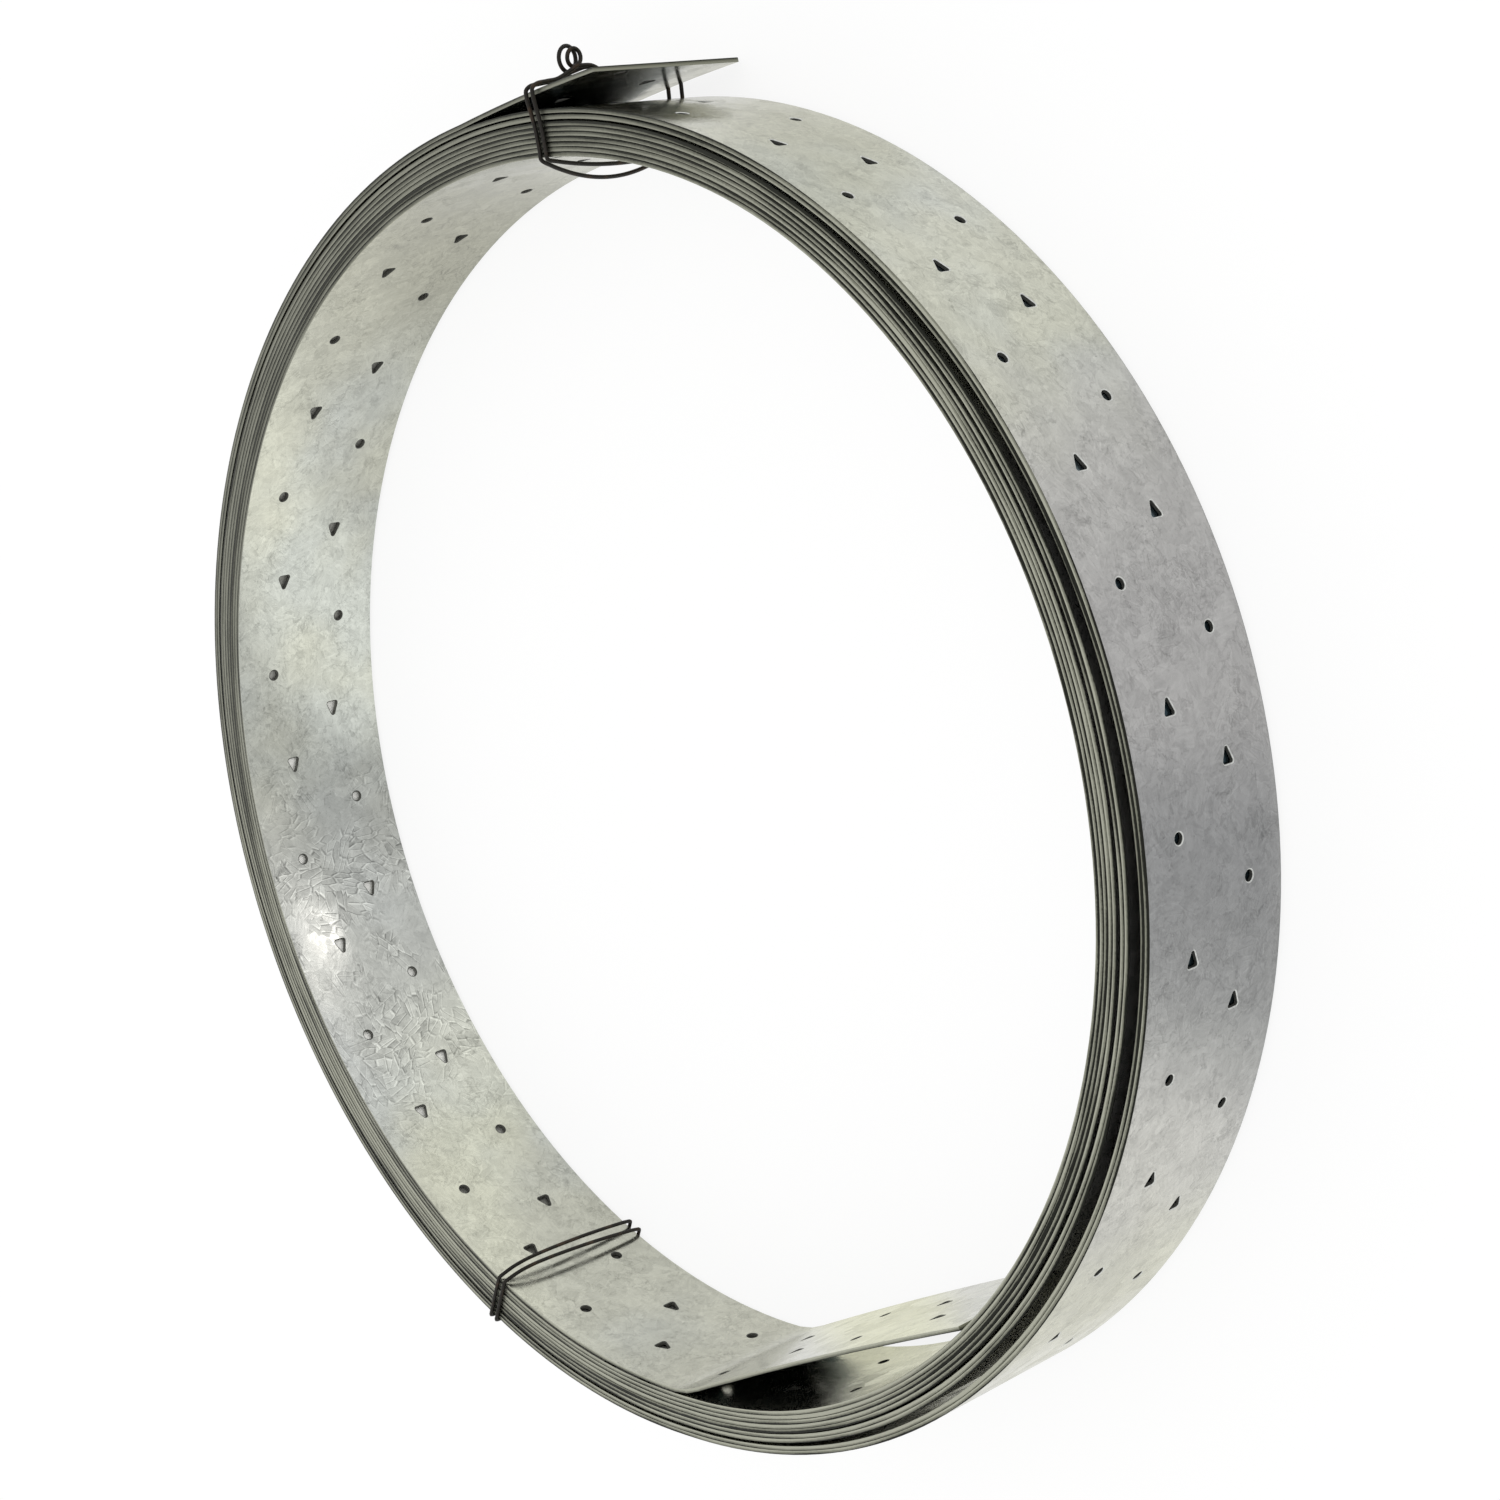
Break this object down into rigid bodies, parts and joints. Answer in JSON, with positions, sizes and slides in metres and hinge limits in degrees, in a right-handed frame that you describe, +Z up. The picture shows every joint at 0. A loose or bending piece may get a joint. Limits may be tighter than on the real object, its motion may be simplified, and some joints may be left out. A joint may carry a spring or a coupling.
{
  "type": "coil of galvanized strap",
  "caption": "Coil of galvanized steel tie strap with round and triangular nail holes, lying on its end, both strap ends sprung loose and the turns held by doubled wire ties.",
  "frame": {"origin": "on the floor that the coil lies on, under the middle of its box", "axes": "+Z up along the coil's axis, +Y towards the upper tie and the sprung outer end, +X right of it seen from above"},
  "size_m": [0.5532, 0.5718, 0.0798],
  "materials": {
    "galvanized_strap": "hot-dip zinc with fine spangle, sheared edges",
    "tie_wire": "black annealed wire"
  },
  "bodies": {
    "root": {"strap": "galvanized_strap", "upper_tie_wire": "tie_wire", "lower_tie_wire": "tie_wire"}
  },
  "joints": []
}
